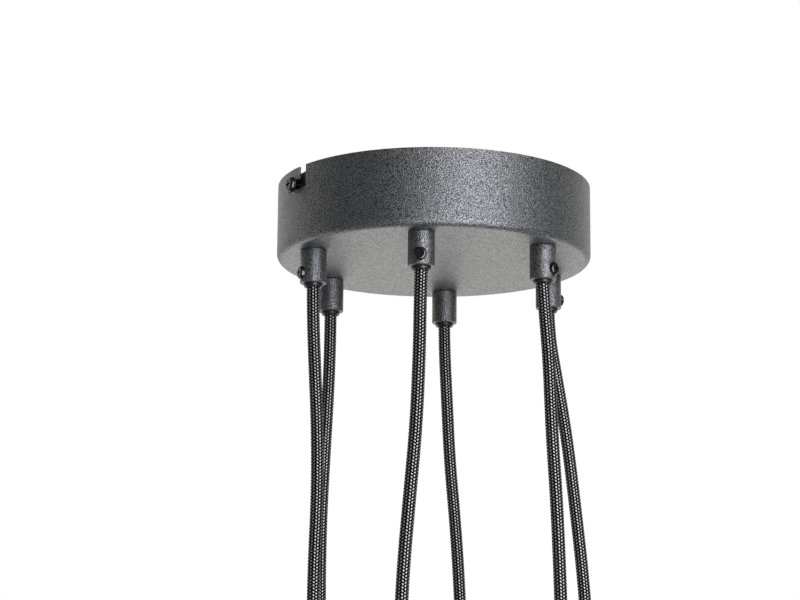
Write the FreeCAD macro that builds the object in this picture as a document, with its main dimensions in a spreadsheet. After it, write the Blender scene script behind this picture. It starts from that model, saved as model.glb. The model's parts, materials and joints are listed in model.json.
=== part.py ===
import FreeCAD, Part
import math
import os
import Sketcher

# Six-cord pendant light: round ceiling canopy, six cord grips, six cords with lampholders.
# Frame: origin on the ceiling plane at the canopy's axis, +Z up, the light hangs towards -Z,
# the ceiling bracket's strap runs along X. Lengths are millimetres, angles are degrees.

SIZES = {
    # canopy cup
    "canopy_radius": 80,
    "canopy_height": 38.8,
    "canopy_sheet": 1.1,
    "canopy_corner": 3.8,
    "rim_gap": 0.5,
    # bayonet slots in the canopy's rim
    "entry_width": 6.1,
    "entry_offset": 4.7,
    "lock_length": 7,
    "tab_depth": 6,
    "slot_play": 1.2,
    "hang_gap": 0.3,
    # ceiling bracket
    "strap_sheet": 1.5,
    "strap_width": 16,
    "strap_half_length": 50,
    "strap_step": 2.8,
    "strap_bend": 1,
    "lug_gap": 1,
    "lug_drop": 16,
    "ceiling_slot_spacing": 56,
    "ceiling_slot_width": 5.2,
    "ceiling_slot_length": 16,
    "cable_hole_radius": 5,
    "earth_screw_place": 43,
    # M4 pan head screws
    "side_shank_radius": 2,
    "side_shank_length": 9,
    "side_head_radius": 4,
    "side_head_height": 2.5,
    "side_head_gap": 1.2,
    # cord grips under the canopy
    "grip_inset": 14,
    "grip_phase": 55,
    "grip_radius": 6.6,
    "grip_length": 17.1,
    "grip_edge": 0.35,
    "grip_wall": 1.55,
    "grip_screw_depth": 12,
    "grip_screw_seat": 5.9,
    "grip_shank_radius": 1.5,
    "grip_head_radius": 3.2,
    "grip_head_height": 2,
    "head_pocket_gap": 0.2,
    "recess_width": 1,
    # clamp bushes inside the grips
    "bush_radius": 4.9,
    "bush_length": 10.6,
    "bush_collar_radius": 4.6,
    "bush_collar_inset": 0.3,
    "bush_stand_out": 1.8,
    "bush_lip": 0.3,
    "mouth_flare": 0.6,
    # nipples and nuts that hold the grips
    "nipple_radius": 5,
    "nipple_bore": 3.6,
    "nipple_in_grip": 5.5,
    "nipple_above_nut": 2,
    "nut_flats": 14,
    "nut_height": 3,
    # cords
    "cord_radius": 3.1,
    "swing_gap": 0.3,
    "slide_gap": 0.05,
    "tail_above_nipple": 4,
    "core_radius": 1.1,
    # terminal block on the canopy's floor
    "block_length": 40,
    "block_depth": 20,
    "block_height": 13,
    "pole_pitch": 12,
    "pole_groove_width": 2,
    "pole_groove_depth": 4.3,
    "wire_pitch": 2.6,
    "entry_height": 5.5,
    "clamp_screw_radius": 2,
    "clamp_screw_length": 4,
    "clamp_screw_sink": 1,
    "clamp_slot_width": 0.8,
    "core_level": 12,
    "core_level_step": 3,
    "core_run_in": 7,
    "core_sweep": 14,
    # lampholders at the cords' lower ends
    "holder_drop": 184,
    "holder_grip_radius": 6.2,
    "holder_grip_length": 12,
    "holder_grip_edge": 1.05,
    "holder_cup_radius": 20,
    "holder_cup_height": 44,
    "holder_cup_sheet": 0.8,
    "holder_cup_corner": 4,
    "holder_thread_radius": 13.3,
    "holder_thread_length": 16,
    "holder_thread_inset": 4,
    "holder_shell_sheet": 0.4,
    "holder_recess_radius": 9,
    "holder_recess_depth": 3.2,
    "holder_insert_set_back": 1.5,
    "contact_radius": 4,
    "contact_button_radius": 2,
    "contact_height": 1,
    "contact_set_back": 0.3,
    # one overrun serves all cuts
    "overrun": 1,
}

PENDANTS = 6
NUT_SIDES = 6
ARC_SHARE = 0.45
HALF = 0.5
FULL_TURN = 360
HALF_TURN = 180
QUARTER_TURN = 90

# A screw head's rounded crown and recess, as shares of the head
CROWN_SHARE = 0.55
RECESS_ARM_SHARE = 0.55
RECESS_DEPTH_SHARE = 0.6

# How close two measures are when they count as the same, and a tube's volume as right
SAME_SHARE = 0.000001
VOLUME_SHARE = 0.01

# Each cord's route below its grip's mouth: sideways and backwards as the photograph's camera
# sees it, and down. The last two points are plumb, because the lampholder's weight hangs there.
CAMERA_AZIMUTH = -29
ROUTES = [
    [(0, 0, 0), (0.2, 0.3, 14), (1.5, 1.2, 38), (3.2, 2.6, 72), (6.4, 3.6, 106),
     (8.7, 4.0, 140), (9.7, 4.2, 170), (9.7, 4.2, 200)],
    [(0, 0, 0), (0, 0.2, 14), (-0.5, 0.9, 38), (-2.0, 2.0, 72), (-3.4, 3.0, 106),
     (-3.6, 3.4, 140), (-3.0, 3.7, 170), (-3.0, 3.7, 200)],
    [(0, 0, 0), (0.2, -0.2, 14), (1.4, -0.9, 38), (3.4, -1.8, 72), (3.9, -2.2, 104),
     (2.8, -2.0, 138), (2.7, -1.8, 169), (2.7, -1.8, 200)],
    [(0, 0, 0), (-0.4, -0.3, 14), (-0.6, -1.2, 38), (-1.8, -2.4, 74), (-4.8, -3.2, 110),
     (-7.5, -3.4, 143), (-8.6, -3.2, 171), (-8.6, -3.2, 200)],
    [(0, 0, 0), (0.8, 0.2, 14), (2.8, 0.8, 38), (4.0, 1.0, 74), (6.1, 0.4, 108),
     (7.3, -0.6, 142), (8.0, -1.0, 171), (8.0, -1.0, 200)],
    [(0, 0, 0), (0.4, 0.3, 13), (3.9, 1.4, 33), (9.1, 2.8, 64), (13.4, 3.6, 101),
     (17.3, 4.2, 138), (19.2, 4.5, 169), (19.2, 4.5, 200)],
]

doc = FreeCAD.newDocument("PendantLight")
sheet = doc.addObject("Spreadsheet::Sheet", "Sizes")
for row, (alias, number) in enumerate(SIZES.items(), start=1):
    sheet.set(f"A{row}", alias)
    sheet.set(f"B{row}", str(number))
    sheet.setAlias(f"B{row}", alias)
doc.recompute()

nodes = []


def size(alias):
    """The value of one cell of the sheet."""
    return float(sheet.get(alias))


def bind(text):
    """A sum in plain words as an expression on the sheet's cells."""
    for alias in sorted(SIZES, key=len, reverse=True):
        text = text.replace(f"<{alias}>", f"Sizes.{alias}")
    return text


def keep(piece, label):
    """Gives a piece its own name and puts it on the list of pieces to write."""
    piece.Label = label
    nodes.append(piece)
    return piece


def place(piece, x="0", y="0", z="0", turn="0"):
    """Puts a piece at x, y, z, turned about the vertical, all bound to the sheet."""
    piece.Placement = FreeCAD.Placement(FreeCAD.Vector(), FreeCAD.Rotation(FreeCAD.Vector(0, 0, 1), 0))
    for axis, text in (("x", x), ("y", y), ("z", z)):
        if text != "0":
            piece.setExpression(f"Placement.Base.{axis}", bind(text))
    if turn != "0":
        piece.setExpression("Placement.Rotation.Angle", bind(turn))
    return piece


def origin_feature(body, role):
    """One of the body's own planes or axes."""
    return next(f for f in body.Origin.OriginFeatures if f.Role == role)


def new_body(name):
    return doc.addObject("PartDesign::Body", name)


def new_sketch(body, name, role, lift=None):
    """A sketch on one of the body's own planes, raised along the plane's normal by lift."""
    sketch = body.newObject("Sketcher::SketchObject", name)
    sketch.AttachmentSupport = (origin_feature(body, role), [""])
    sketch.MapMode = "FlatFace"
    if lift:
        sketch.setExpression("AttachmentOffset.Base.z", bind(lift))
    return sketch


def pin_point(sketch, edge, point, axis, text):
    """Fixes one coordinate of a point: on the axis where it is zero, bound to the sheet elsewhere."""
    kind, line = ("DistanceX", -2) if axis == "x" else ("DistanceY", -1)
    if text == "0":
        sketch.addConstraint(Sketcher.Constraint("PointOnObject", edge, point, line))
        return
    value = sketch.Document.getObject("Sizes").evalExpression(bind(text))
    number = getattr(value, "Value", value)
    index = sketch.addConstraint(Sketcher.Constraint(kind, -1, 1, edge, point, number))
    sketch.setExpression(f"Constraints[{index}]", bind(text))


def outline(sketch, corners):
    """A closed outline with straight sides through corners given as pairs of sums."""
    values = []
    for pair in corners:
        found = [sheet.evalExpression(bind(text)) for text in pair]
        values.append([getattr(v, "Value", v) for v in found])
    count = len(corners)
    first = sketch.GeometryCount
    for i in range(count):
        start = FreeCAD.Vector(*values[i], 0)
        end = FreeCAD.Vector(*values[(i + 1) % count], 0)
        sketch.addGeometry(Part.LineSegment(start, end))
    for i in range(count):
        sketch.addConstraint(
            Sketcher.Constraint("Coincident", first + i, 2, first + (i + 1) % count, 1)
        )
    for i, (x, y) in enumerate(corners):
        pin_point(sketch, first + i, 1, "x", x)
        pin_point(sketch, first + i, 1, "y", y)


def disc(sketch, x, y, radius):
    """A circle with its centre and radius bound to the sheet."""
    centre = [getattr(v, "Value", v) for v in (sheet.evalExpression(bind(t)) for t in (x, y))]
    found = sheet.evalExpression(bind(radius))
    number = getattr(found, "Value", found)
    circle = Part.Circle(FreeCAD.Vector(*centre, 0), FreeCAD.Vector(0, 0, 1), number)
    edge = sketch.addGeometry(circle)
    pin_point(sketch, edge, 3, "x", x)
    pin_point(sketch, edge, 3, "y", y)
    index = sketch.addConstraint(Sketcher.Constraint("Radius", edge, number))
    sketch.setExpression(f"Constraints[{index}]", bind(radius))


def turn_profile(body, name, corners):
    """A solid of revolution about the body's own vertical axis."""
    sketch = new_sketch(body, f"{name}Profile", "XZ_Plane")
    outline(sketch, corners)
    turned = body.newObject("PartDesign::Revolution", f"{name}Turn")
    turned.Profile = sketch
    turned.ReferenceAxis = (sketch, ["V_Axis"])
    turned.Angle = FULL_TURN
    doc.recompute()
    return turned


def pocket(body, sketch, name, depth=None, both=False, reverse=False):
    """A cut through everything, or as deep as a sum says; it must take something away."""
    before = body.Shape.Volume
    cut = body.newObject("PartDesign::Pocket", name)
    cut.Profile = sketch
    if depth:
        cut.setExpression("Length", bind(depth))
    else:
        cut.Type = "ThroughAll"
    cut.Midplane = both
    cut.Reversed = reverse
    doc.recompute()
    if body.Shape.Volume >= before:
        raise ValueError(f"{name} cuts nothing")
    return cut


def polar(body, features, name, count):
    """Repeats features evenly about the body's vertical axis."""
    pattern = body.newObject("PartDesign::PolarPattern", name)
    pattern.Originals = features
    pattern.Axis = (origin_feature(body, "Z_Axis"), [""])
    pattern.Angle = FULL_TURN
    pattern.Occurrences = count
    body.Tip = pattern
    doc.recompute()
    return pattern


def edge_names(shape, wanted):
    return [f"Edge{i}" for i, edge in enumerate(shape.Edges, start=1) if wanted(edge)]


def is_ring(edge, radius, height):
    """Whether an edge is a full circle of this radius at this height."""
    curve = edge.Curve
    if not isinstance(curve, Part.Circle):
        return False
    near = math.isclose(curve.Radius, radius, rel_tol=SAME_SHARE)
    return near and abs(curve.Center.z - height) < radius * SAME_SHARE


def dress(body, kind, name, wanted, amount):
    """A fillet or chamfer on the edges that wanted picks from the body's shape."""
    base = body.Tip
    names = edge_names(base.Shape, wanted)
    if not names:
        raise ValueError(f"{name} finds no edge")
    feature = body.newObject(f"PartDesign::{kind}", name)
    feature.Base = (base, names)
    prop = "Radius" if kind == "Fillet" else "Size"
    feature.setExpression(prop, bind(amount))
    body.Tip = feature
    doc.recompute()
    if "Invalid" in feature.State:
        raise ValueError(f"{name} failed")
    return feature


def group(label, solids):
    """Identical pieces that share a node, each a separate solid."""
    feature = doc.addObject("Part::Feature", label)
    feature.Shape = Part.makeCompound(solids)
    return keep(feature, label)


def moved(shape, placement):
    copy = shape.copy()
    copy.Placement = placement.multiply(copy.Placement)
    return copy


def at(x, y, z, turn=0):
    return FreeCAD.Placement(
        FreeCAD.Vector(x, y, z), FreeCAD.Rotation(FreeCAD.Vector(0, 0, 1), turn)
    )


def pendant_turn(index):
    """The angle of one pendant about the canopy's axis, as a sum."""
    return f"<grip_phase> + {index} * {FULL_TURN} / {PENDANTS}"


def pendant_angle(index):
    return size("grip_phase") + index * FULL_TURN / PENDANTS


def pendant_spot(index):
    """The middle of one pendant's grip, seen from above."""
    angle = math.radians(pendant_angle(index))
    radius = level(GRIP_CIRCLE)
    return radius * math.cos(angle), radius * math.sin(angle)


def place_pendant(piece, index, z):
    """Puts a piece of one pendant on the grip circle, facing outward."""
    turn = pendant_turn(index)
    return place(
        piece,
        f"{GRIP_CIRCLE} * cos({turn})",
        f"{GRIP_CIRCLE} * sin({turn})",
        z,
        turn,
    )


# Radii and heights that several pieces share, as sums on the sheet

GRIP_CIRCLE = "(<canopy_radius> - <grip_inset>)"
UNDERSIDE = "-(<rim_gap> + <canopy_height>)"
FLOOR = f"({UNDERSIDE} + <canopy_sheet>)"
GRIP_BOTTOM = f"({UNDERSIDE} - <grip_length>)"
MOUTH = f"({GRIP_BOTTOM} - <bush_stand_out>)"
SCREW_LINE = "-(<rim_gap> + <tab_depth> + <hang_gap> + <side_shank_radius>)"
LUG_FACE = "(<canopy_radius> - <canopy_sheet> - <lug_gap>)"
NIPPLE_TOP = f"({FLOOR} + <nut_height> + <nipple_above_nut>)"
TAIL_TOP = f"({NIPPLE_TOP} + <tail_above_nipple>)"
TAIL_BOTTOM = f"({MOUTH} + <cord_radius> + <swing_gap>)"


def level(text):
    """The value of a sum."""
    found = sheet.evalExpression(bind(text))
    return float(getattr(found, "Value", found))


def make_canopy():
    """The cup: a turned sheet-metal shell with bayonet slots and holes for the nipples."""
    body = new_body("Canopy")
    turn_profile(body, "Canopy", [
        ("0", "0"),
        ("<canopy_radius>", "0"),
        ("<canopy_radius>", "<canopy_height>"),
        ("<canopy_radius> - <canopy_sheet>", "<canopy_height>"),
        ("<canopy_radius> - <canopy_sheet>", "<canopy_sheet>"),
        ("0", "<canopy_sheet>"),
    ])
    outer = size("canopy_radius")
    sheet_metal = size("canopy_sheet")
    dress(
        body, "Fillet", "CanopyInnerCorner",
        lambda e: is_ring(e, outer - sheet_metal, sheet_metal),
        "<canopy_corner> - <canopy_sheet>",
    )
    dress(body, "Fillet", "CanopyOuterCorner", lambda e: is_ring(e, outer, 0), "<canopy_corner>")
    left = "-(<entry_offset> + <entry_width>)"
    tab = "<canopy_height> - <tab_depth>"
    floor = f"{tab} - 2 * <side_shank_radius> - <slot_play>"
    above = "<canopy_height> + <overrun>"
    slot = new_sketch(body, "BayonetOutline", "YZ_Plane")
    outline(slot, [
        (left, floor),
        ("<lock_length>", floor),
        ("<lock_length>", tab),
        ("-<entry_offset>", tab),
        ("-<entry_offset>", above),
        (left, above),
    ])
    slot_cut = pocket(body, slot, "BayonetSlot", reverse=False)
    polar(body, [slot_cut], "BayonetSlots", 2)
    hole = new_sketch(body, "NippleHoleOutline", "XY_Plane")
    disc(
        hole,
        f"{GRIP_CIRCLE} * cos(<grip_phase>)",
        f"{GRIP_CIRCLE} * sin(<grip_phase>)",
        "<nipple_radius> + <slide_gap>",
    )
    hole_cut = pocket(body, hole, "NippleHole", "<canopy_sheet> + <overrun>", reverse=True)
    polar(body, [hole_cut], "NippleHoles", PENDANTS)
    place(body, z=UNDERSIDE)
    return keep(body, "canopy_shell")


def make_bracket():
    """The strap that screws to the ceiling, stepped down to two tapped lugs."""
    body = new_body("Bracket")
    half = "<strap_half_length>"
    sheet_metal = "<strap_sheet>"
    step = "<strap_step>"
    right = [
        (half, "0"),
        (half, f"-{step}"),
        (LUG_FACE, f"-{step}"),
        (LUG_FACE, "-<lug_drop>"),
        (f"{LUG_FACE} - {sheet_metal}", "-<lug_drop>"),
        (f"{LUG_FACE} - {sheet_metal}", f"-({step} + {sheet_metal})"),
        (f"{half} - {sheet_metal}", f"-({step} + {sheet_metal})"),
        (f"{half} - {sheet_metal}", f"-{sheet_metal}"),
    ]
    left = [(f"-({x})", z) for x, z in reversed(right)]
    profile = new_sketch(body, "StrapProfile", "XZ_Plane")
    outline(profile, right + left)
    pad = body.newObject("PartDesign::Pad", "Strap")
    pad.Profile = profile
    pad.setExpression("Length", bind("<strap_width>"))
    pad.Midplane = True
    doc.recompute()
    width = size("strap_width")
    lug_end = -size("lug_drop")

    def is_bend(edge):
        points = [v.Point for v in edge.Vertexes]
        if len(points) != 2 or not math.isclose(edge.Length, width, rel_tol=SAME_SHARE):
            return False
        along = abs((points[1] - points[0]).y)
        inside = points[0].z > lug_end + size("strap_sheet")
        return inside and math.isclose(along, width, rel_tol=SAME_SHARE)

    dress(body, "Fillet", "StrapBends", is_bend, "<strap_bend>")
    middle = "<ceiling_slot_spacing> / 2"
    flat = "(<ceiling_slot_length> - <ceiling_slot_width>) / 2"
    half_width = "<ceiling_slot_width> / 2"
    straight = new_sketch(body, "SlotMiddle", "XY_Plane")
    outline(straight, [
        (f"{middle} - {flat}", f"-{half_width}"),
        (f"{middle} + {flat}", f"-{half_width}"),
        (f"{middle} + {flat}", half_width),
        (f"{middle} - {flat}", half_width),
    ])
    straight_cut = pocket(body, straight, "SlotMiddleCut", both=True)
    ends = new_sketch(body, "SlotEnds", "XY_Plane")
    disc(ends, f"{middle} - {flat}", "0", half_width)
    disc(ends, f"{middle} + {flat}", "0", half_width)
    end_cut = pocket(body, ends, "SlotEndsCut", both=True)
    polar(body, [straight_cut, end_cut], "CeilingSlots", 2)
    cable = new_sketch(body, "CableHole", "XY_Plane")
    disc(cable, "0", "0", "<cable_hole_radius>")
    disc(cable, "-<earth_screw_place>", "0", "<side_shank_radius> + <slide_gap>")
    pocket(body, cable, "CableHoleCut", both=True)
    tapped = new_sketch(body, "TappedHoles", "YZ_Plane")
    disc(tapped, "0", SCREW_LINE, "<side_shank_radius> + <slide_gap>")
    pocket(body, tapped, "TappedHolesCut", both=True)
    return keep(body, "ceiling_bracket")


def pan_screw(name, shank, length, head, height):
    """A pan head cross-recess screw along +Z, its head's underside at zero."""
    body = new_body(name)
    turn_profile(body, name, [
        ("0", f"-{length}"),
        (shank, f"-{length}"),
        (shank, "0"),
        (head, "0"),
        (head, height),
        ("0", height),
    ])
    radius = level(head)
    top = level(height)
    dress(
        body, "Fillet", f"{name}Crown",
        lambda e: is_ring(e, radius, top), f"{height} * {CROWN_SHARE}",
    )
    arm = f"{head} * {RECESS_ARM_SHARE}"
    half = "<recess_width> / 2"
    cross = new_sketch(body, f"{name}Cross", "XY_Plane", lift=height)
    outline(cross, [
        (half, half), (arm, half), (arm, f"-{half}"), (half, f"-{half}"),
        (half, f"-({arm})"), (f"-{half}", f"-({arm})"), (f"-{half}", f"-{half}"),
        (f"-({arm})", f"-{half}"), (f"-({arm})", half), (f"-{half}", half),
        (f"-{half}", arm), (half, arm),
    ])
    pocket(body, cross, f"{name}Recess", f"{height} * {RECESS_DEPTH_SHARE}")
    return body


def outward(x, y, z, turn):
    """A placement that points a screw's axis outward along the direction turn."""
    upright = FreeCAD.Rotation(FreeCAD.Vector(0, 1, 0), QUARTER_TURN)
    spin = FreeCAD.Rotation(FreeCAD.Vector(0, 0, 1), turn)
    return FreeCAD.Placement(FreeCAD.Vector(x, y, z), spin.multiply(upright))


def make_screws():
    """The two side screws that hold the canopy, the earth screw and the six grip screws."""
    side = pan_screw(
        "SideScrew", "<side_shank_radius>", "<side_shank_length>",
        "<side_head_radius>", "<side_head_height>",
    )
    reach = size("canopy_radius") + size("side_head_gap")
    height = level(SCREW_LINE)
    group("canopy_screws", [
        moved(side.Shape, outward(-reach, 0, height, HALF_TURN)),
        moved(side.Shape, outward(reach, 0, height, 0)),
    ])
    earth = pan_screw(
        "EarthScrew", "<side_shank_radius>", "<strap_sheet>",
        "<side_head_radius>", "<side_head_height>",
    )
    under = FreeCAD.Placement(
        FreeCAD.Vector(-size("earth_screw_place"), 0, -size("strap_sheet")),
        FreeCAD.Rotation(FreeCAD.Vector(1, 0, 0), HALF_TURN),
    )
    group("earth_screw", [moved(earth.Shape, under)])
    grip = pan_screw(
        "GripScrew", "<grip_shank_radius>",
        "(<grip_screw_seat> - <bush_radius> - <slide_gap>)",
        "<grip_head_radius>", "<grip_head_height>",
    )
    screws = []
    for index in range(PENDANTS):
        x, y = pendant_spot(index)
        angle = pendant_angle(index)
        seat = size("grip_screw_seat")
        x += seat * math.cos(math.radians(angle))
        y += seat * math.sin(math.radians(angle))
        z = level(UNDERSIDE) - size("grip_screw_depth")
        screws.append(moved(grip.Shape, outward(x, y, z, angle)))
    group("grip_screws", screws)


def make_grip(index):
    """A turned metal sleeve under the canopy with a spot-faced hole for its clamping screw."""
    name = f"Grip{index + 1}"
    body = new_body(name)
    bore = "<grip_radius> - <grip_wall>"
    turn_profile(body, name, [
        (bore, "0"),
        ("<grip_radius> - <grip_edge>", "0"),
        ("<grip_radius>", "<grip_edge>"),
        ("<grip_radius>", "<grip_length> - <grip_edge>"),
        ("<grip_radius> - <grip_edge>", "<grip_length>"),
        (bore, "<grip_length>"),
    ])
    line = "<grip_length> - <grip_screw_depth>"
    seat = new_sketch(body, f"{name}Seat", "YZ_Plane", lift="<grip_screw_seat>")
    disc(seat, "0", line, "<grip_head_radius> + <head_pocket_gap>")
    pocket(body, seat, f"{name}SpotFace", "<grip_radius> + <overrun> - <grip_screw_seat>", reverse=True)
    hole = new_sketch(body, f"{name}Hole", "YZ_Plane")
    disc(hole, "0", line, "<grip_shank_radius> + <slide_gap>")
    pocket(body, hole, f"{name}ScrewHole", "<grip_radius> + <overrun>", reverse=True)
    place_pendant(body, index, GRIP_BOTTOM)
    return keep(body, f"cord_grip_{index + 1}")


def make_bush(index):
    """The dark bush inside a grip, with a slimmer collar below it and a flared mouth for the cord."""
    name = f"Bush{index + 1}"
    body = new_body(name)
    tail_bore = "<cord_radius> + <slide_gap>"
    free_bore = "<cord_radius> + <swing_gap>"
    top = "<bush_length>"
    collar = "<bush_stand_out> + <bush_collar_inset>"
    turn_profile(body, name, [
        ("<cord_radius> + <mouth_flare>", "0"),
        ("<bush_collar_radius> - <bush_lip>", "0"),
        ("<bush_collar_radius>", "<bush_lip>"),
        ("<bush_collar_radius>", collar),
        ("<bush_radius>", collar),
        ("<bush_radius>", top),
        (tail_bore, top),
        (tail_bore, "<cord_radius> + <swing_gap>"),
        (free_bore, "<cord_radius>"),
        (free_bore, "<mouth_flare>"),
    ])
    place_pendant(body, index, MOUTH)
    return keep(body, f"clamp_bush_{index + 1}")


def make_nipples():
    """Hollow threaded nipples through the canopy's floor and the nuts that lock them."""
    nipple = new_body("Nipple")
    tall = "<nipple_in_grip> + <canopy_sheet> + <nut_height> + <nipple_above_nut>"
    turn_profile(nipple, "Nipple", [
        ("<nipple_bore>", "0"),
        ("<nipple_radius>", "0"),
        ("<nipple_radius>", tall),
        ("<nipple_bore>", tall),
    ])
    nut = new_body("Nut")
    half_side = HALF_TURN / NUT_SIDES
    corner = f"<nut_flats> / 2 / cos({half_side})"
    turns = [half_side + side * FULL_TURN / NUT_SIDES for side in range(NUT_SIDES)]
    flats = new_sketch(nut, "NutOutline", "XY_Plane")
    outline(flats, [(f"{corner} * cos({turn})", f"{corner} * sin({turn})") for turn in turns])
    disc(flats, "0", "0", "<nipple_radius> + <slide_gap>")
    pad = nut.newObject("PartDesign::Pad", "NutPad")
    pad.Profile = flats
    pad.setExpression("Length", bind("<nut_height>"))
    doc.recompute()
    bottom = level(UNDERSIDE) - size("nipple_in_grip")
    spots = [(*pendant_spot(i), pendant_angle(i)) for i in range(PENDANTS)]
    group("threaded_nipples", [moved(nipple.Shape, at(x, y, bottom, a)) for x, y, a in spots])
    group("lock_nuts", [moved(nut.Shape, at(x, y, level(FLOOR), a)) for x, y, a in spots])


def rounded_path(points):
    """Straight runs joined by tangent arcs, each as large as its two runs allow."""
    edges = []
    radii = []
    start = points[0]
    for before, corner, after in zip(points, points[1:], points[2:]):
        come = (corner - before).normalize()
        leave = (after - corner).normalize()
        half_turn = come.getAngle(leave) * HALF
        shorter = min((corner - before).Length, (after - corner).Length)
        radius = ARC_SHARE * shorter / math.tan(half_turn)
        back = ARC_SHARE * shorter
        enter = corner - come * back
        exit_point = corner + leave * back
        inward = (leave - come).normalize()
        middle = corner + inward * (radius / math.cos(half_turn) - radius)
        edges.append(Part.LineSegment(start, enter).toShape())
        edges.append(Part.Arc(enter, middle, exit_point).toShape())
        radii.append(radius)
        start = exit_point
    edges.append(Part.LineSegment(start, points[-1]).toShape())
    return Part.Wire(edges), radii


def tube(points, radius):
    """A round tube along a rounded path, its volume compared with section times length."""
    path, radii = rounded_path(points)
    section = Part.Wire([Part.Circle(points[0], points[1] - points[0], radius).toShape()])
    solid = path.makePipeShell([section], True, False)
    expected = math.pi * radius**2 * path.Length
    if not math.isclose(solid.Volume, expected, rel_tol=VOLUME_SHARE):
        raise ValueError(f"tube volume {solid.Volume} is not {expected}")
    return solid, path.Length, radii


def view_directions():
    """Sideways and backwards of the photograph's camera, in this frame."""
    turn = math.radians(CAMERA_AZIMUTH)
    side = FreeCAD.Vector(math.cos(turn), math.sin(turn), 0)
    back = FreeCAD.Vector(-math.sin(turn), math.cos(turn), 0)
    return side, back


def route_points(index):
    """One cord's route from its grip's mouth to the inside of its lampholder."""
    side, back = view_directions()
    mouth = FreeCAD.Vector(*pendant_spot(index), level(MOUTH))
    down = FreeCAD.Vector(0, 0, -1)
    return [mouth + side * s + back * b + down * d for s, b, d in ROUTES[index]]


def make_cord(index):
    """The free cord: a tube with a round end that swings in the bush's mouth."""
    points = route_points(index)
    radius = size("cord_radius")
    solid, length, radii = tube(points, radius)
    ball = Part.makeSphere(radius, points[0])
    cord = solid.fuse(ball).removeSplitter()
    feature = doc.addObject("Part::Feature", f"Cord{index + 1}")
    feature.Shape = cord
    smallest = min(radii)
    print(f"cord {index + 1}: length {length:.1f} mm, smallest bend radius {smallest:.0f} mm")
    print("  bend radii", [round(r) for r in radii])
    return keep(feature, f"cord_{index + 1}")


def make_tail(index):
    """The clamped end of the cord, from the bush up through the nipple into the canopy."""
    name = f"Tail{index + 1}"
    tail = doc.addObject("Part::Cylinder", name)
    tail.setExpression("Radius", bind("<cord_radius>"))
    tail.setExpression("Height", bind(f"{TAIL_TOP} - {TAIL_BOTTOM}"))
    place_pendant(tail, index, TAIL_BOTTOM)
    return keep(tail, f"cord_tail_{index + 1}")


def make_block():
    """The terminal block on the canopy's floor, with its clamp screws."""
    floor = level(FLOOR)
    body = new_body("Block")
    half_length = "<block_length> / 2"
    half_depth = "<block_depth> / 2"
    footprint = new_sketch(body, "BlockOutline", "XY_Plane")
    outline(footprint, [
        (f"-{half_length}", f"-{half_depth}"),
        (half_length, f"-{half_depth}"),
        (half_length, half_depth),
        (f"-{half_length}", half_depth),
    ])
    pad = body.newObject("PartDesign::Pad", "BlockPad")
    pad.Profile = footprint
    pad.setExpression("Length", bind("<block_height>"))
    doc.recompute()
    wells = new_sketch(body, "ScrewWells", "XY_Plane", lift="<block_height>")
    rows = (f"{half_depth} / 2", f"-{half_depth} / 2")
    poles = ("-<pole_pitch>", "0", "<pole_pitch>")
    for x in poles:
        for y in rows:
            disc(wells, x, y, "<clamp_screw_radius> + <slide_gap>")
    pocket(body, wells, "ScrewWellsCut", "<clamp_screw_length> + <clamp_screw_sink>")
    grooves = new_sketch(body, "PoleGrooves", "XY_Plane", lift="<block_height>")
    for side in ("", "-"):
        middle = f"{side}<pole_pitch> / 2"
        half_groove = "<pole_groove_width> / 2"
        outline(grooves, [
            (f"{middle} - {half_groove}", f"-({half_depth} + <overrun>)"),
            (f"{middle} + {half_groove}", f"-({half_depth} + <overrun>)"),
            (f"{middle} + {half_groove}", f"{half_depth} + <overrun>"),
            (f"{middle} - {half_groove}", f"{half_depth} + <overrun>"),
        ])
    pocket(body, grooves, "PoleGroovesCut", "<pole_groove_depth>")
    place(body, z=FLOOR)
    keep(body, "terminal_block")

    screw = new_body("ClampScrew")
    turn_profile(screw, "ClampScrew", [
        ("0", "0"),
        ("<clamp_screw_radius>", "0"),
        ("<clamp_screw_radius>", "<clamp_screw_length>"),
        ("0", "<clamp_screw_length>"),
    ])
    slot = new_sketch(screw, "ClampSlot", "XY_Plane", lift="<clamp_screw_length>")
    reach = "<clamp_screw_radius> + <overrun>"
    half_slot = "<clamp_slot_width> / 2"
    outline(slot, [
        (f"-({reach})", f"-{half_slot}"),
        (reach, f"-{half_slot}"),
        (reach, half_slot),
        (f"-({reach})", half_slot),
    ])
    pocket(screw, slot, "ClampSlotCut", "<clamp_slot_width>")
    bottom = floor + size("block_height") - size("clamp_screw_length") - size("clamp_screw_sink")
    pitch = size("pole_pitch")
    row = size("block_depth") * HALF * HALF
    group("terminal_screws", [
        moved(screw.Shape, at(x * pitch, y * row, bottom)) for x in (-1, 0, 1) for y in (-1, 1)
    ])


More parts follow.
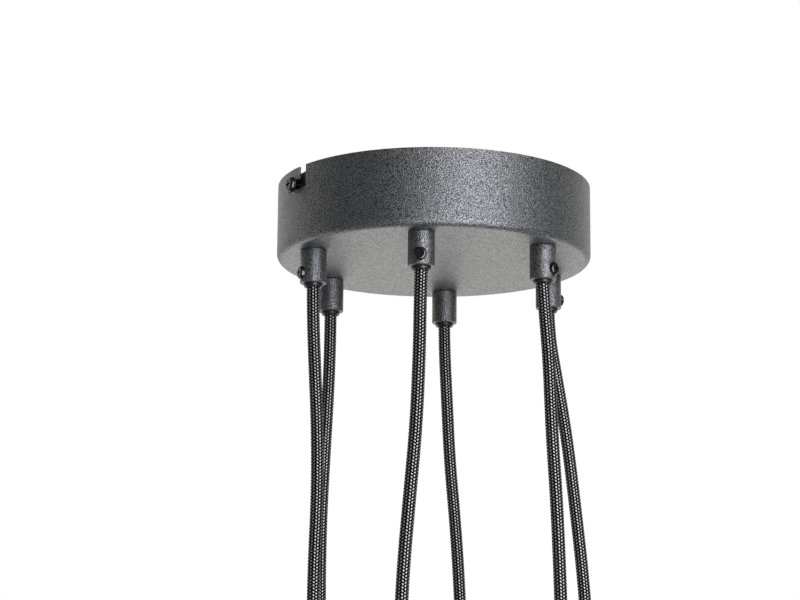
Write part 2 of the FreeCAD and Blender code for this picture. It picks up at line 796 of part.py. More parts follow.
def make_cores():
    """Three insulated cores from each cord's tail to the terminal block, sorted by colour."""
    top = level(TAIL_TOP)
    floor = level(FLOOR)
    face = size("block_depth") * HALF
    entry = floor + size("entry_height")
    radius = size("core_radius")
    spacing = (radius + size("slide_gap")) * 2
    bend = face + size("core_sweep")
    cores = {"core_brown": [], "core_blue": [], "core_earth": []}
    for side in (0, 1):
        half_turn = FreeCAD.Placement(
            FreeCAD.Vector(), FreeCAD.Rotation(FreeCAD.Vector(0, 0, 1), HALF_TURN * side)
        )
        for order in range(PENDANTS // 2):
            x, y = pendant_spot(order)
            lift = floor + size("core_level") + (order + 1) * size("core_level_step")
            heading = math.atan2(bend - y, -x)
            across = FreeCAD.Vector(-math.sin(heading), math.cos(heading), 0)
            if across.x < 0:
                across = across * -1
            for pole, colour in zip((-1, 0, 1), cores):
                entry_x = pole * size("pole_pitch") + (1 - order) * size("wire_pitch")
                start = FreeCAD.Vector(x, y, top) + across * (pole * spacing)
                points = [
                    start,
                    FreeCAD.Vector(start.x, start.y, lift),
                    FreeCAD.Vector(entry_x, bend, lift),
                    FreeCAD.Vector(entry_x, face + size("core_run_in"), entry),
                    FreeCAD.Vector(entry_x, face, entry),
                ]
                solid, _, _ = tube(points, radius)
                cores[colour].append(moved(solid, half_turn))
    for label, solids in cores.items():
        group(label, solids)


def make_holder(index):
    """One lampholder: cord grip, metal cup, moulded insert, screw shell and centre contact."""
    points = route_points(index)
    end = points[-1]
    top = level(MOUTH) - size("holder_drop")
    cup_top = top - size("holder_grip_length")
    cup_bottom = cup_top - size("holder_cup_height")
    tag = index + 1

    grip = new_body(f"HolderGrip{tag}")
    bore = "<cord_radius> + <slide_gap>"
    turn_profile(grip, f"HolderGrip{tag}", [
        (bore, "0"),
        ("<holder_grip_radius>", "0"),
        ("<holder_grip_radius>", "<holder_grip_length> - <holder_grip_edge>"),
        ("<holder_grip_radius> - <holder_grip_edge>", "<holder_grip_length>"),
        (bore, "<holder_grip_length>"),
    ])
    grip.Placement = at(end.x, end.y, cup_top, pendant_angle(index))
    keep(grip, f"holder_grip_{tag}")

    cup = new_body(f"HolderCup{tag}")
    inner = "<holder_cup_radius> - <holder_cup_sheet>"
    roof = "<holder_cup_height> - <holder_cup_sheet>"
    turn_profile(cup, f"HolderCup{tag}", [
        (inner, "0"),
        ("<holder_cup_radius>", "0"),
        ("<holder_cup_radius>", "<holder_cup_height>"),
        (bore, "<holder_cup_height>"),
        (bore, roof),
        (inner, roof),
    ])
    outer_radius = size("holder_cup_radius")
    height = size("holder_cup_height")
    metal = size("holder_cup_sheet")
    dress(
        cup, "Fillet", f"HolderCup{tag}Inside",
        lambda e: is_ring(e, outer_radius - metal, height - metal),
        "<holder_cup_corner> - <holder_cup_sheet>",
    )
    dress(
        cup, "Fillet", f"HolderCup{tag}Shoulder",
        lambda e: is_ring(e, outer_radius, height), "<holder_cup_corner>",
    )
    cup.Placement = at(end.x, end.y, cup_bottom)
    keep(cup, f"holder_cup_{tag}")

    insert = new_body(f"HolderInsert{tag}")
    outer = f"{inner} - <slide_gap>"
    tall = f"({roof} - <holder_insert_set_back>)"
    thread = "<holder_thread_radius>"
    shell = f"({thread} + <holder_shell_sheet> + <slide_gap>)"
    shell_top = "(<holder_thread_inset> + <holder_thread_length>)"
    pit = "<contact_radius> + <slide_gap>"
    pit_top = f"({shell_top} + <contact_height> * 2 + <contact_set_back>)"
    shoulder = f"{tall} - <holder_cup_corner>"
    turn_profile(insert, f"HolderInsert{tag}", [
        (shell, "0"),
        (outer, "0"),
        (outer, shoulder),
        (f"{outer} - <holder_cup_corner>", tall),
        ("<holder_recess_radius>", tall),
        ("<holder_recess_radius>", f"{tall} - <holder_recess_depth>"),
        ("0", f"{tall} - <holder_recess_depth>"),
        ("0", pit_top),
        (pit, pit_top),
        (pit, shell_top),
        (shell, shell_top),
    ])
    insert_bottom = cup_bottom + size("holder_insert_set_back")
    insert.Placement = at(end.x, end.y, insert_bottom)
    keep(insert, f"holder_insert_{tag}")

    shell_body = new_body(f"ScrewShell{tag}")
    turn_profile(shell_body, f"ScrewShell{tag}", [
        (thread, "0"),
        (f"{thread} + <holder_shell_sheet>", "0"),
        (f"{thread} + <holder_shell_sheet>", "<holder_thread_length>"),
        (thread, "<holder_thread_length>"),
    ])
    contact = new_body(f"Contact{tag}")
    turn_profile(contact, f"Contact{tag}", [
        ("0", "0"),
        ("<contact_button_radius>", "0"),
        ("<contact_button_radius>", "<contact_height>"),
        ("<contact_radius>", "<contact_height>"),
        ("<contact_radius>", "<contact_height> * 2"),
        ("0", "<contact_height> * 2"),
    ])
    shell_bottom = insert_bottom + size("holder_thread_inset")
    contact_bottom = insert_bottom + level(pit_top) - size("contact_height") * 2
    group(f"holder_contacts_{tag}", [
        moved(shell_body.Shape, at(end.x, end.y, shell_bottom)),
        moved(contact.Shape, at(end.x, end.y, contact_bottom)),
    ])


def check_and_write():
    """Stops on any failed object or bad shape, then writes each piece to its own file."""
    doc.recompute()
    for thing in doc.Objects:
        if "Invalid" in thing.State or "Error" in thing.State:
            raise ValueError(f"{thing.Name} failed: {thing.State}")
    for piece in nodes:
        if piece.Shape.isNull() or not piece.Shape.isValid():
            raise ValueError(f"{piece.Label} has no valid shape")
    os.makedirs("parts", exist_ok=True)
    for piece in nodes:
        piece.Shape.exportStep(f"parts/{piece.Label}.step")
    print(len(nodes), "pieces written")


make_canopy()
make_bracket()
make_screws()
for pendant in range(PENDANTS):
    make_grip(pendant)
    make_bush(pendant)
    make_tail(pendant)
    make_cord(pendant)
    make_holder(pendant)
make_nipples()
make_block()
make_cores()
check_and_write()
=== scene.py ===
import json
import math

import bpy
import numpy as np
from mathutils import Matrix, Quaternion, Vector


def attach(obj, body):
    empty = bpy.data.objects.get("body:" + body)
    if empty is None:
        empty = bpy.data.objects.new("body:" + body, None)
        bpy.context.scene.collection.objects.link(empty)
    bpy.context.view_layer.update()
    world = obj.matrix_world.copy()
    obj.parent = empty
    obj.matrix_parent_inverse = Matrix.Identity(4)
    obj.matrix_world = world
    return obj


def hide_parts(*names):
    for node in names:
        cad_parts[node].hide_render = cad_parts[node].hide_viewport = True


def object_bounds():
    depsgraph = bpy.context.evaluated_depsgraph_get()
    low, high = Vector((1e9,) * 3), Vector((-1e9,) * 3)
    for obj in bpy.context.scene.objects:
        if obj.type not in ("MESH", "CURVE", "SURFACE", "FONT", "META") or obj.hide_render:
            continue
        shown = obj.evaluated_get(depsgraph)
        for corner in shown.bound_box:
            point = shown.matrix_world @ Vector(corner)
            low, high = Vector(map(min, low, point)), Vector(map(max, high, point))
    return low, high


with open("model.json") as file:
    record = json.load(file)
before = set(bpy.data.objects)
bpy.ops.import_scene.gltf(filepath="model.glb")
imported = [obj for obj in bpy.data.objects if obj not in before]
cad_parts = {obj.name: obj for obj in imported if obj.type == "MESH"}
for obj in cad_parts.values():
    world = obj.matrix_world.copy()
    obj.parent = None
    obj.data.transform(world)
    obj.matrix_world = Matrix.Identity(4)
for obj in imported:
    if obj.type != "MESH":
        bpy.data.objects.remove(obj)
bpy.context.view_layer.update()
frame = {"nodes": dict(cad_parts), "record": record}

# Camera: the photograph's viewpoint, worked out from the canopy's outline and the six grips

PHOTO_WIDTH = 800
FOCAL_PIXELS = 2315
SENSOR_WIDTH = 36
CAMERA_AZIMUTH = math.radians(-29)
CAMERA_DISTANCE = 1.150
CAMERA_LEFT = 0.0170
CAMERA_HEIGHT = -0.31456
CAMERA_PITCH = 0.2193
CAMERA_ROLL = 0.0086
CLIP_START = 0.01
CLIP_END = 50

SIDE = Vector((math.cos(CAMERA_AZIMUTH), math.sin(CAMERA_AZIMUTH), 0))
BACK = Vector((-math.sin(CAMERA_AZIMUTH), math.cos(CAMERA_AZIMUTH), 0))
UP = Vector((0, 0, 1))
MILLIMETRE = 0.001


def make_camera():
    data = bpy.data.cameras.new("camera")
    data.sensor_width = SENSOR_WIDTH
    data.lens = SENSOR_WIDTH * FOCAL_PIXELS / PHOTO_WIDTH
    data.clip_start = CLIP_START
    data.clip_end = CLIP_END
    camera = bpy.data.objects.new("camera", data)
    bpy.context.scene.collection.objects.link(camera)
    camera.location = BACK * -CAMERA_DISTANCE + SIDE * -CAMERA_LEFT + UP * CAMERA_HEIGHT
    aim = BACK * math.cos(CAMERA_PITCH) + UP * math.sin(CAMERA_PITCH)
    camera.rotation_mode = "QUATERNION"
    camera.rotation_quaternion = aim.to_track_quat("-Z", "Y") @ Quaternion((0, 0, 1), CAMERA_ROLL)
    bpy.context.scene.camera = camera


make_camera()

# Materials

# A wave texture repeats after this length at a scale of 1
WAVE_PERIOD = math.pi / 10


class Nodes:
    """A short way to write a material's node tree."""

    def __init__(self, name):
        self.material = bpy.data.materials.new(name)
        self.material.use_nodes = True
        self.tree = self.material.node_tree
        self.shader = self.tree.nodes["Principled BSDF"]

    def add(self, kind, **settings):
        node = self.tree.nodes.new(kind)
        for key, value in settings.items():
            setattr(node, key, value)
        return node

    def link(self, source, target):
        self.tree.links.new(source, target)

    def place(self):
        """Where a point of the surface is, in metres, fixed to its piece."""
        return self.add("ShaderNodeTexCoord").outputs["Object"]

    def noise(self, scale, detail=2.0, rough=0.5):
        node = self.add("ShaderNodeTexNoise")
        node.inputs["Scale"].default_value = scale
        node.inputs["Detail"].default_value = detail
        node.inputs["Roughness"].default_value = rough
        self.link(self.place(), node.inputs["Vector"])
        return node.outputs["Fac"]

    def ridges(self, pitch):
        """Even ridges across the piece's axis, like a screw thread's."""
        node = self.add("ShaderNodeTexWave", bands_direction="Z")
        node.inputs["Scale"].default_value = WAVE_PERIOD / pitch
        self.link(self.place(), node.inputs["Vector"])
        return node.outputs["Fac"]

    def ramp(self, source, low, high):
        """A colour between two others. Each is given as where it is reached and what it is."""
        node = self.add("ShaderNodeValToRGB")
        for element, (position, colour) in zip(node.color_ramp.elements, (low, high)):
            element.position = position
            element.color = (*colour, 1)
        self.link(source, node.inputs["Fac"])
        return node.outputs["Color"]

    def span(self, source, given, wanted):
        """Carries the range of a value over to another range."""
        node = self.add("ShaderNodeMapRange")
        for key, value in zip(("From Min", "From Max", "To Min", "To Max"), (*given, *wanted)):
            node.inputs[key].default_value = value
        self.link(source, node.inputs["Value"])
        return node.outputs["Result"]

    def bump(self, source, distance, strength=1.0):
        node = self.add("ShaderNodeBump")
        node.inputs["Strength"].default_value = strength
        node.inputs["Distance"].default_value = distance
        self.link(source, node.inputs["Height"])
        return node.outputs["Normal"]

    def set(self, **values):
        for key, value in values.items():
            self.shader.inputs[key].default_value = value

    def wire(self, key, source):
        self.link(source, self.shader.inputs[key])


def grey(level, tint=(1, 1, 1)):
    return tuple(level * t for t in tint)


# The middle part of a noise, which most of its values fall into
NOISE_MIDDLE = (0.3, 0.7)

COAT_TINT = (0.965, 0.99, 1.045)
COAT_DARK = (0.41, grey(0.055, COAT_TINT))
COAT_LIGHT = (0.61, grey(0.243, COAT_TINT))
COAT_METAL = 0.85
COAT_ROUGHNESS = (0.37, 0.43)
COAT_GRAIN_SCALE = 2100
COAT_GRAIN_DETAIL = 0.3
COAT_GRAIN_DEPTH = 0.00021
COAT_PATCH_SCALE = 260


def powder_coat(name):
    """Fine textured metallic powder coat: tiny rounded grains, some of them glinting."""
    n = Nodes(name)
    grains = n.noise(COAT_GRAIN_SCALE, COAT_GRAIN_DETAIL)
    n.wire("Base Color", n.ramp(grains, COAT_DARK, COAT_LIGHT))
    n.wire("Roughness", n.span(n.noise(COAT_PATCH_SCALE), NOISE_MIDDLE, COAT_ROUGHNESS))
    n.wire("Normal", n.bump(grains, COAT_GRAIN_DEPTH))
    n.set(Metallic=COAT_METAL)
    return n.material


PLATING_SCALE = 420
PLATING_DETAIL = 4.0
PLATING_NOISE_ROUGH = 0.6
PLATING_ROUGH_SHARES = (0.8, 1.25)
PLATING_FINE_TIMES = 6
PLATING_FINE_DEPTH = 0.00002
PLATING_FINE_STRENGTH = 0.4
THREAD_DEPTH_SHARE = 0.6


def plated(name, colour, roughness, mottle=0.15, thread_pitch=None):
    """Plated metal with a faint mottle in its colour and sheen, plain or with a thread's ridges."""
    n = Nodes(name)
    cloud = n.noise(PLATING_SCALE, PLATING_DETAIL, PLATING_NOISE_ROUGH)
    low, high = NOISE_MIDDLE
    darker = tuple(c * (1 - mottle) for c in colour)
    n.wire("Base Color", n.ramp(cloud, (low, darker), (high, colour)))
    roughnesses = [roughness * share for share in PLATING_ROUGH_SHARES]
    n.wire("Roughness", n.span(cloud, NOISE_MIDDLE, roughnesses))
    if thread_pitch is None:
        fine = n.noise(PLATING_SCALE * PLATING_FINE_TIMES)
        normal = n.bump(fine, PLATING_FINE_DEPTH, PLATING_FINE_STRENGTH)
    else:
        normal = n.bump(n.ridges(thread_pitch), thread_pitch * THREAD_DEPTH_SHARE)
    n.wire("Normal", normal)
    n.set(Metallic=1.0)
    return n.material


PLASTIC_CLOUD_SCALE = 300
PLASTIC_CLOUD_DETAIL = 3.0
PLASTIC_CLOUD_ENDS = (0.25, 0.75)
PLASTIC_DARK_SHARE = 0.82
PLASTIC_ROUGH_SHARES = (0.85, 1.15)
PLASTIC_GRAIN_SCALE = 2600
PLASTIC_GRAIN_ROUGH = 0.6
PLASTIC_GRAIN_DEPTH = 0.00003
PLASTIC_GRAIN_STRENGTH = 0.6


def moulded(name, colour, roughness):
    """Moulded plastic with a faint grain."""
    n = Nodes(name)
    cloud = n.noise(PLASTIC_CLOUD_SCALE, PLASTIC_CLOUD_DETAIL)
    low, high = PLASTIC_CLOUD_ENDS
    darker = tuple(c * PLASTIC_DARK_SHARE for c in colour)
    n.wire("Base Color", n.ramp(cloud, (low, darker), (high, colour)))
    roughnesses = [roughness * share for share in PLASTIC_ROUGH_SHARES]
    n.wire("Roughness", n.span(cloud, NOISE_MIDDLE, roughnesses))
    grain = n.noise(PLASTIC_GRAIN_SCALE, rough=PLASTIC_GRAIN_ROUGH)
    n.wire("Normal", n.bump(grain, PLASTIC_GRAIN_DEPTH, PLASTIC_GRAIN_STRENGTH))
    return n.material


EARTH_GREEN = (0.72, (0.06, 0.30, 0.05))
EARTH_YELLOW = (0.76, (0.72, 0.60, 0.05))
EARTH_ROUGHNESS = (0.32, 0.42)
EARTH_CLOUD_SCALE = 400


def earth_insulation(name):
    """Green insulation with a yellow stripe along its upper side."""
    n = Nodes(name)
    split = n.add("ShaderNodeSeparateXYZ")
    n.link(n.add("ShaderNodeNewGeometry").outputs["Normal"], split.inputs["Vector"])
    upward = n.span(split.outputs["Z"], (-1, 1), (0, 1))
    n.wire("Base Color", n.ramp(upward, EARTH_GREEN, EARTH_YELLOW))
    n.wire("Roughness", n.span(n.noise(EARTH_CLOUD_SCALE), NOISE_MIDDLE, EARTH_ROUGHNESS))
    return n.material


# Heights on a stitch, from 0 at its foot to 1 on its crown: where the painted highlight and the
# reflection on its top begin and are full, and where its flank begins and ends
STITCH_TOP = (0.60, 0.92)
STITCH_FLANK = (0.3, 0.8)
# Braid base colours: painted shade for the hollows between stitches, painted highlight for their
# tops
BRAID_PAINTED_SHADE = grey(0.002)
BRAID_PAINTED_HIGHLIGHT = grey(0.100)
BRAID_ROUGHNESS = (0.9, 0.42)
BRAID_SPECULAR = (0.0, 1.0)
BRAID_IOR = 2.4
BRAID_THREAD_SCALE = 5200
BRAID_THREAD_ROUGH = 0.6
BRAID_THREAD_DEPTH = 0.00005
BRAID_THREAD_STRENGTH = 0.5


def braid(name):
    """Black polyester braid: painted shade between the stitches, painted highlight on their tops.
    """
    n = Nodes(name)
    height = n.add("ShaderNodeAttribute", attribute_name="stitch").outputs["Fac"]
    low, high = STITCH_TOP
    # Painted shade and highlight: the colour is darkest where a stitch is low and lighter on its
    # crown
    n.wire("Base Color", n.ramp(height, (low, BRAID_PAINTED_SHADE), (high, BRAID_PAINTED_HIGHLIGHT)))
    n.wire("Roughness", n.span(height, STITCH_FLANK, BRAID_ROUGHNESS))
    n.wire("Specular IOR Level", n.span(height, STITCH_TOP, BRAID_SPECULAR))
    threads = n.noise(BRAID_THREAD_SCALE, rough=BRAID_THREAD_ROUGH)
    n.wire("Normal", n.bump(threads, BRAID_THREAD_DEPTH, BRAID_THREAD_STRENGTH))
    n.set(IOR=BRAID_IOR)
    return n.material


NIPPLE_PITCH = 0.001
LAMP_THREAD_PITCH = 0.0036

MATERIALS = {
    "anthracite_powder_coat": powder_coat("anthracite_powder_coat"),
    "zinc_steel": plated("zinc_steel", (0.56, 0.57, 0.58), roughness=0.34),
    "black_steel": moulded("black_steel", grey(0.010), roughness=0.42),
    "black_nickel_screw": plated(
        "black_nickel_screw", (0.095, 0.095, 0.10), roughness=0.18, mottle=0.3,
    ),
    "black_plastic": moulded("black_plastic", grey(0.012), roughness=0.28),
    "nipple_steel": plated(
        "nipple_steel", (0.60, 0.60, 0.57), roughness=0.30, thread_pitch=NIPPLE_PITCH,
    ),
    "textile_cord": braid("textile_cord"),
    "terminal_plastic": moulded("terminal_plastic", (0.72, 0.71, 0.66), roughness=0.45),
    "core_brown": moulded("core_brown", (0.13, 0.055, 0.022), roughness=0.38),
    "core_blue": moulded("core_blue", (0.02, 0.10, 0.38), roughness=0.38),
    "core_earth": earth_insulation("core_earth"),
    "insert_plastic": moulded("insert_plastic", grey(0.025), roughness=0.4),
    "shell_nickel": plated(
        "shell_nickel", (0.66, 0.60, 0.46), roughness=0.26, thread_pitch=LAMP_THREAD_PITCH,
    ),
}


def dress_nodes():
    """Gives every CAD node the material of its slot."""
    slots = {s["node"]: s["material_slot"] for s in frame["record"]["subparts"]}
    for node, piece in frame["nodes"].items():
        piece.data.materials.clear()
        piece.data.materials.append(MATERIALS[slots[node]])


# Cords: each route is the CAD route's points in millimetres, counted sideways, backwards and down
# from its grip's mouth

PENDANTS = 6
CORD_DIAMETER = 0.0062
GRIP_CIRCLE = 0.066
GRIP_PHASE = 55
MOUTH_HEIGHT = -0.0582
ROUTES = [
    [(0, 0, 0), (0.2, 0.3, 14), (1.5, 1.2, 38), (3.2, 2.6, 72), (6.4, 3.6, 106),
     (8.7, 4.0, 140), (9.7, 4.2, 170), (9.7, 4.2, 200)],
    [(0, 0, 0), (0, 0.2, 14), (-0.5, 0.9, 38), (-2.0, 2.0, 72), (-3.4, 3.0, 106),
     (-3.6, 3.4, 140), (-3.0, 3.7, 170), (-3.0, 3.7, 200)],
    [(0, 0, 0), (0.2, -0.2, 14), (1.4, -0.9, 38), (3.4, -1.8, 72), (3.9, -2.2, 104),
     (2.8, -2.0, 138), (2.7, -1.8, 169), (2.7, -1.8, 200)],
    [(0, 0, 0), (-0.4, -0.3, 14), (-0.6, -1.2, 38), (-1.8, -2.4, 74), (-4.8, -3.2, 110),
     (-7.5, -3.4, 143), (-8.6, -3.2, 171), (-8.6, -3.2, 200)],
    [(0, 0, 0), (0.8, 0.2, 14), (2.8, 0.8, 38), (4.0, 1.0, 74), (6.1, 0.4, 108),
     (7.3, -0.6, 142), (8.0, -1.0, 171), (8.0, -1.0, 200)],
    [(0, 0, 0), (0.4, 0.3, 13), (3.9, 1.4, 33), (9.1, 2.8, 64), (13.4, 3.6, 101),
     (17.3, 4.2, 138), (19.2, 4.5, 169), (19.2, 4.5, 200)],
]
SPLINE_ORDER = 3
SPLINE_STEPS = 32

STITCH_COLUMNS = 12
STITCH_PITCH = 0.00157
STITCH_HEIGHT = 0.00022
STITCH_TURN = 0.5
STITCH_STAGGER = 0.5
STITCH_MEAN_SHARE = 0.55
STITCH_LONG_SHARE = 0.56
STITCH_WIDE_SHARE = 0.40
STITCH_SLANT = math.radians(38)
POINTS_PER_STITCH = 5


def pendant_spot(index):
    angle = math.radians(GRIP_PHASE + index * 360 / PENDANTS)
    return Vector((GRIP_CIRCLE * math.cos(angle), GRIP_CIRCLE * math.sin(angle), 0))


def route(index):
    """One cord's control points in metres."""
    mouth = pendant_spot(index) + UP * MOUTH_HEIGHT
    points = []
    for s, b, d in ROUTES[index]:
        points.append(mouth + (SIDE * s + BACK * b - UP * d) * MILLIMETRE)
    return points


def spline_line(name, points):
    """The smooth line of a NURBS spline with these control points, as points along it."""
    data = bpy.data.curves.new(name, "CURVE")
    data.dimensions = "3D"
    data.resolution_u = SPLINE_STEPS
    spline = data.splines.new("NURBS")
    spline.points.add(len(points) - 1)
    for place, point in zip(spline.points, points):
        place.co = (*point, 1)
    spline.order_u = SPLINE_ORDER
    spline.use_endpoint_u = True
    holder = bpy.data.objects.new(name, data)
    bpy.context.scene.collection.objects.link(holder)
    bpy.context.view_layer.update()
    mesh = bpy.data.meshes.new_from_object(holder)
    line = np.array([v.co for v in mesh.vertices], float)
    bpy.data.objects.remove(holder)
    bpy.data.meshes.remove(mesh)
    return line


def even_line(line, step):
    """The same line with points at an even step, and how far along it each of them is."""
    lengths = np.concatenate([[0], np.cumsum(np.linalg.norm(np.diff(line, axis=0), axis=1))])
    count = max(2, int(round(lengths[-1] / step)))
    spots = np.linspace(0, lengths[-1], count + 1)
    return np.stack([np.interp(spots, lengths, line[:, k]) for k in range(3)], axis=1), spots


def mesh_object(name, vertices, faces, material, smooth=True):
    mesh = bpy.data.meshes.new(name)
    mesh.from_pydata([tuple(v) for v in vertices], [], faces)
    mesh.validate()
    if smooth:
        mesh.polygons.foreach_set("use_smooth", [True] * len(mesh.polygons))
    mesh.update()
    piece = bpy.data.objects.new(name, mesh)
    bpy.context.scene.collection.objects.link(piece)
    piece.data.materials.append(material)
    return piece


def tube_frames(line):
    """A steady pair of directions across the line at each of its points."""
    tangents = np.gradient(line, axis=0)
    tangents /= np.linalg.norm(tangents, axis=1)[:, None]
    first = np.cross(tangents, np.array(BACK))
    first /= np.linalg.norm(first, axis=1)[:, None]
    second = np.cross(tangents, first)
    return first, second


def stitch_heights(turns, along):
    """How high the braid stands at each place: slanted oval stitches in staggered columns."""
    column_place = turns * STITCH_COLUMNS + STITCH_TURN
    column = np.floor(column_place)
    across = column_place - column - 0.5
    row_place = along / STITCH_PITCH + STITCH_STAGGER * (column % 2)
    up = row_place - np.round(row_place)
    slant = np.where(column % 2 == 0, STITCH_SLANT, -STITCH_SLANT)
    long_way = across * np.sin(slant) + up * np.cos(slant)
    short_way = across * np.cos(slant) - up * np.sin(slant)
    oval = 1 - (long_way / STITCH_LONG_SHARE) ** 2 - (short_way / STITCH_WIDE_SHARE) ** 2
    return np.sqrt(np.clip(oval, 0, 1))


def tube_faces(rows, around):
    """The faces of a closed tube of so many rings with so many points each."""
    faces = []
    for r in range(rows - 1):
        base = r * around
        for c in range(around):
            d = (c + 1) % around
            faces.append((base + c, base + d, base + around + d, base + around + c))
    faces.append(tuple(range(around))[::-1])
    faces.append(tuple(range((rows - 1) * around, rows * around)))
    return faces


def braided_tube(name, line):
    """A round tube with the braid's stitches along a line of points."""
    line, along = even_line(line, STITCH_PITCH / POINTS_PER_STITCH)
    first, second = tube_frames(line)
    around = STITCH_COLUMNS * POINTS_PER_STITCH
    turns = (np.arange(around) + 0.5) / around
    heights = stitch_heights(turns[None, :], along[:, None])
    radius = CORD_DIAMETER / 2 + (heights - STITCH_MEAN_SHARE) * STITCH_HEIGHT
    angles = (turns * 2 * math.pi)[None, :, None]
    ring = first[:, None, :] * np.cos(angles) + second[:, None, :] * np.sin(angles)
    vertices = (line[:, None, :] + ring * radius[:, :, None]).reshape(-1, 3)
    faces = tube_faces(len(line), around)
    piece = mesh_object(name, vertices, faces, MATERIALS["textile_cord"])
    attribute = piece.data.attributes.new("stitch", "FLOAT", "POINT")
    attribute.data.foreach_set("value", heights.astype(np.float32).ravel())
    return piece, line, along


def make_cord(index):
    """A free cord from its grip down to its lampholder."""
    k = index + 1
    points = route(index)
    name = f"braided_cord_{k}"
    piece, line, along = braided_tube(name, spline_line(name, points))
    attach(piece, f"pendant_{k}")
    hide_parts(f"cord_{k}")


def make_tail(index):
    """The cord's clamped end, as long as the CAD piece, with its cut end inside the canopy."""
    k = index + 1
    solid = frame["nodes"][f"cord_tail_{k}"]
    heights = [(solid.matrix_world @ v.co).z for v in solid.data.vertices]
    spot = pendant_spot(index)
    ends = np.array([spot + UP * min(heights), spot + UP * max(heights)])
    piece, _, _ = braided_tube(f"braided_tail_{k}", ends)
    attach(piece, "canopy")
    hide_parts(f"cord_tail_{k}")


# Stage and light

FLOOR_DROP = 2.0
FLOOR_RADIUS = 0.7
FLOOR_SIDES = 96
FLOOR_GLOW_SHARES = (0.5, 1.0)
FLOOR_ROUGHNESS = 0.9
FLOOR_CLOUD_SCALE = 3.0
FLOOR_DARK = grey(0.80)
FLOOR_LIGHT = grey(0.84)
ROOM_LIGHT = 0.15
BACKDROP_LIGHT = 0.9
BACKDROP_TINT = (1, 0.985, 0.94)
BACKDROP_FADE = (0.1, 0.6)
BACKDROP_TURN = math.radians(8)
BACKDROP_WAY = tuple(BACK * math.cos(BACKDROP_TURN) - SIDE * math.sin(BACKDROP_TURN))
LIGHT_AIM = Vector((0, 0, -0.02))
COOL_WHITE = (0.98, 0.98, 1)
WARM_WHITE = (1, 0.99, 0.96)


def studio_world():
    """White where it is seen straight or through glass, and a studio around the object:
    a white backdrop behind it and a dim room on every other side."""
    world = bpy.data.worlds.new("studio")
    bpy.context.scene.world = world
    world.use_nodes = True
    tree = world.node_tree
    tree.nodes.clear()
    link = tree.links.new
    way = tree.nodes.new("ShaderNodeTexCoord").outputs["Generated"]
    split = tree.nodes.new("ShaderNodeVectorMath")
    split.operation = "DOT_PRODUCT"
    split.inputs[1].default_value = BACKDROP_WAY
    link(way, split.inputs[0])
    share = tree.nodes.new("ShaderNodeMapRange")
    share.interpolation_type = "SMOOTHSTEP"
    share.inputs["From Min"].default_value = BACKDROP_FADE[0]
    share.inputs["From Max"].default_value = BACKDROP_FADE[1]
    share.inputs["To Min"].default_value = ROOM_LIGHT
    share.inputs["To Max"].default_value = BACKDROP_LIGHT
    link(split.outputs["Value"], share.inputs["Value"])
    around = tree.nodes.new("ShaderNodeBackground")
    around.inputs["Color"].default_value = (*BACKDROP_TINT, 1)
    link(share.outputs["Result"], around.inputs["Strength"])
    seen = tree.nodes.new("ShaderNodeBackground")
    seen.inputs["Color"].default_value = (1, 1, 1, 1)
    path = tree.nodes.new("ShaderNodeLightPath")
    either = tree.nodes.new("ShaderNodeMath")
    either.operation = "MAXIMUM"
    link(path.outputs["Is Camera Ray"], either.inputs[0])
    link(path.outputs["Is Transmission Ray"], either.inputs[1])
    mix = tree.nodes.new("ShaderNodeMixShader")
    link(either.outputs[0], mix.inputs["Fac"])
    link(around.outputs[0], mix.inputs[1])
    link(seen.outputs[0], mix.inputs[2])
    out = tree.nodes.new("ShaderNodeOutputWorld")
    link(mix.outputs[0], out.inputs["Surface"])


def area_light(name, side, back, up, width, height, power, colour):
    """A soft light placed as the camera sees it: sideways, backwards and up, in metres."""
    data = bpy.data.lights.new(name, "AREA")
    data.shape = "RECTANGLE"
    data.size = width
    data.size_y = height
    data.energy = power
    data.color = colour
    light = bpy.data.objects.new(name, data)
    bpy.context.scene.collection.objects.link(light)
    light.location = SIDE * side + BACK * back + UP * up
    direction = LIGHT_AIM - light.location
    light.rotation_mode = "QUATERNION"
    light.rotation_quaternion = direction.to_track_quat("-Z", "Y")
    light.visible_camera = False


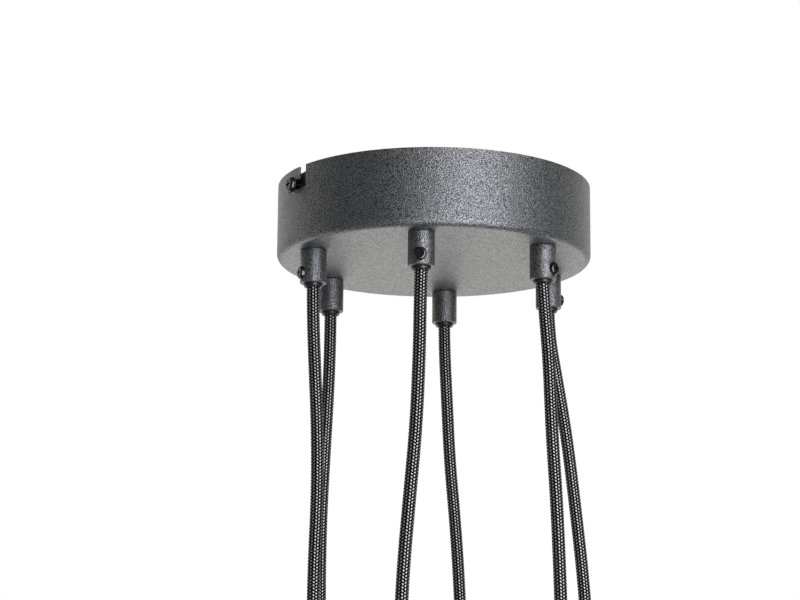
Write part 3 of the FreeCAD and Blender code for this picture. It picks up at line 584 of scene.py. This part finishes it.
def floor_glow(n):
    """How white the floor is seen by the camera: half at its middle and full at its rim."""
    across = n.add("ShaderNodeSeparateXYZ")
    n.link(n.place(), across.inputs["Vector"])
    flat = n.add("ShaderNodeCombineXYZ")
    n.link(across.outputs["X"], flat.inputs["X"])
    n.link(across.outputs["Y"], flat.inputs["Y"])
    distance = n.add("ShaderNodeVectorMath", operation="LENGTH")
    n.link(flat.outputs["Vector"], distance.inputs[0])
    glow = n.add("ShaderNodeMath", operation="MULTIPLY")
    n.link(n.add("ShaderNodeLightPath").outputs["Is Camera Ray"], glow.inputs[0])
    n.link(n.span(distance.outputs["Value"], (0, FLOOR_RADIUS), FLOOR_GLOW_SHARES), glow.inputs[1])
    return glow.outputs[0]


def make_floor():
    """A pale round floor far below the light, which melts into the background at its rim."""
    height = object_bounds()[0].z - FLOOR_DROP
    angles = [2 * math.pi * k / FLOOR_SIDES for k in range(FLOOR_SIDES)]
    rim = [(FLOOR_RADIUS * math.cos(a), FLOOR_RADIUS * math.sin(a), height) for a in angles]
    n = Nodes("floor")
    low, high = NOISE_MIDDLE
    cloud = n.noise(FLOOR_CLOUD_SCALE)
    n.wire("Base Color", n.ramp(cloud, (low, FLOOR_DARK), (high, FLOOR_LIGHT)))
    n.set(Roughness=FLOOR_ROUGHNESS)
    mix = n.add("ShaderNodeMixShader")
    n.link(floor_glow(n), mix.inputs["Fac"])
    n.link(n.shader.outputs[0], mix.inputs[1])
    n.link(n.add("ShaderNodeEmission").outputs[0], mix.inputs[2])
    output = next(node for node in n.tree.nodes if node.type == "OUTPUT_MATERIAL")
    n.link(mix.outputs[0], output.inputs["Surface"])
    floor = mesh_object("floor", rim, [tuple(range(FLOOR_SIDES))], n.material, smooth=False)


dress_nodes()
for index in range(PENDANTS):
    make_cord(index)
for index in range(PENDANTS):
    make_tail(index)
studio_world()
area_light(
    "key_softbox", side=0.385, back=-0.82, up=-0.24, width=0.70, height=1.6,
    power=17.0, colour=COOL_WHITE,
)
area_light(
    "side_softbox", side=1.18, back=-0.72, up=0.36, width=0.25, height=0.8,
    power=1.7, colour=COOL_WHITE,
)
area_light(
    "back_bounce", side=0, back=1.1, up=-0.95, width=1.6, height=0.8,
    power=6.5, colour=WARM_WHITE,
)
make_floor()

scene = bpy.context.scene
scene.view_settings.view_transform = "Standard"
